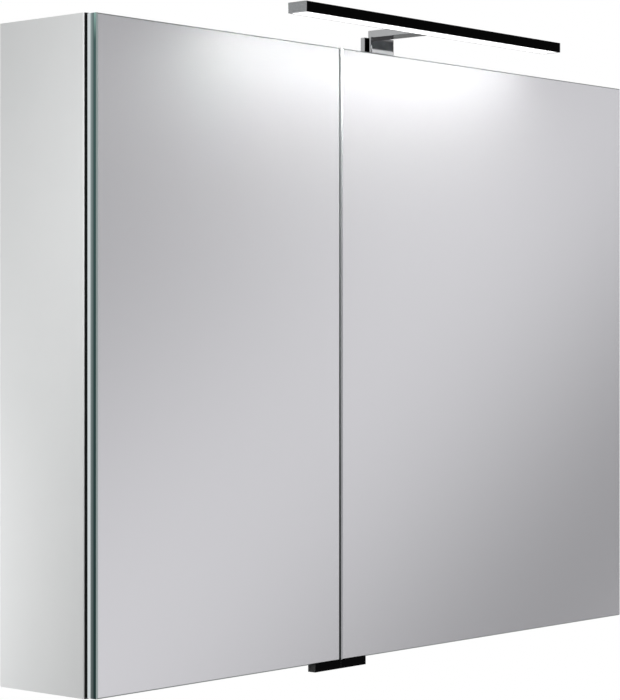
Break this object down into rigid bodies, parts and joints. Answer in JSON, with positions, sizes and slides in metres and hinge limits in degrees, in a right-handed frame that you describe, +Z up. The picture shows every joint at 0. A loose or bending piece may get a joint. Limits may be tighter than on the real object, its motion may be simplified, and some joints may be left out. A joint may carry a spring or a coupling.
{
  "type": "medicine cabinet with mirror",
  "caption": "Wall-hung medicine cabinet with unequal swinging mirror doors on continuous hinges, glass shelves inside and a bar lamp on a bracket above the doors.",
  "frame": {"origin": "centre of the wall-screw pattern, on the wall plane behind the cabinet", "axes": "+X to the right seen from the front, +Y into the wall, +Z up"},
  "size_m": [1, 0.23, 0.7747],
  "materials": {
    "white_board": "satin white melamine on board",
    "dowel_wood": "plain beech",
    "shelf_glass": "clear float glass with ground edges",
    "zinc_steel": "zinc plated",
    "hanger_plastic": "moulded, fine texture",
    "hinge_black": "satin black",
    "mirror_glass": "silvered float glass, bevelled front edge",
    "frame_aluminium": "satin anodised",
    "pull_black": "satin black",
    "bumper_rubber": "translucent soft rubber",
    "lamp_chrome": "polished",
    "lamp_black": "gloss black",
    "lamp_silver": "satin anodised",
    "opal_diffuser": "opal, lit",
    "circuit_board": "white solder mask",
    "driver_white": "moulded"
  },
  "bodies": {
    "cabinet": {"back_panel": "white_board", "bottom_panel": "white_board", "bracket_screws": "zinc_steel", "carcass_dowels": "dowel_wood", "catch_magnets": "zinc_steel", "divider_panel": "white_board", "driver_base": "driver_white", "driver_board": "circuit_board", "driver_cover": "driver_white", "driver_gland": "hinge_black", "fixing_screws": "zinc_steel", "hanger_hook_left": "zinc_steel", "hanger_hook_right": "zinc_steel", "hanger_left": "hanger_plastic", "hanger_right": "hanger_plastic", "hanger_screws": "zinc_steel", "hinge_leaf_fixed_left": "hinge_black", "hinge_leaf_fixed_right": "hinge_black", "hinge_pins": "hinge_black", "hinge_screws": "hinge_black", "lamp_arm": "lamp_chrome", "lamp_diffuser": "opal_diffuser", "lamp_end_cap_left": "lamp_silver", "lamp_end_cap_right": "lamp_silver", "lamp_plate": "lamp_chrome", "lamp_profile": "lamp_black", "lamp_screws": "zinc_steel", "led_strip": "circuit_board", "magnet_catch_left": "hanger_plastic", "magnet_catch_right": "hanger_plastic", "shelf_left_lower": "shelf_glass", "shelf_left_upper": "shelf_glass", "shelf_pins": "zinc_steel", "shelf_right_lower": "shelf_glass", "shelf_right_upper": "shelf_glass", "side_panel_left": "white_board", "side_panel_right": "white_board", "switch_housing": "hanger_plastic", "top_panel": "white_board", "wall_plate_left": "zinc_steel", "wall_plate_right": "zinc_steel"},
    "door_left": {"door_bumpers_left": "bumper_rubber", "door_frame_left": "frame_aluminium", "door_pull_left": "pull_black", "door_screws_left": "hinge_black", "hinge_leaf_moving_left": "hinge_black", "mirror_inner_left": "mirror_glass", "mirror_outer_left": "mirror_glass", "strike_plate_left": "zinc_steel"},
    "door_right": {"door_bumpers_right": "bumper_rubber", "door_frame_right": "frame_aluminium", "door_pull_right": "pull_black", "door_screws_right": "hinge_black", "hinge_leaf_moving_right": "hinge_black", "mirror_inner_right": "mirror_glass", "mirror_outer_right": "mirror_glass", "strike_plate_right": "zinc_steel"},
    "rocker": {"switch_rocker": "hanger_plastic"}
  },
  "joints": [
    {"name": "door_left_hinge", "type": "hinge", "parent": "cabinet", "child": "door_left", "pos_m": [-0.4982, -0.138, -0.3], "axis": [0, 0, -1], "range_deg": [0, 105]},
    {"name": "door_right_hinge", "type": "hinge", "parent": "cabinet", "child": "door_right", "pos_m": [0.4982, -0.138, -0.3], "axis": [0, 0, 1], "range_deg": [0, 105]},
    {"name": "switch_rocker_tip", "type": "hinge", "parent": "cabinet", "child": "rocker", "pos_m": [0.23, -0.1218, 0.032], "axis": [1, 0, 0], "range_deg": [0, 16]}
  ]
}
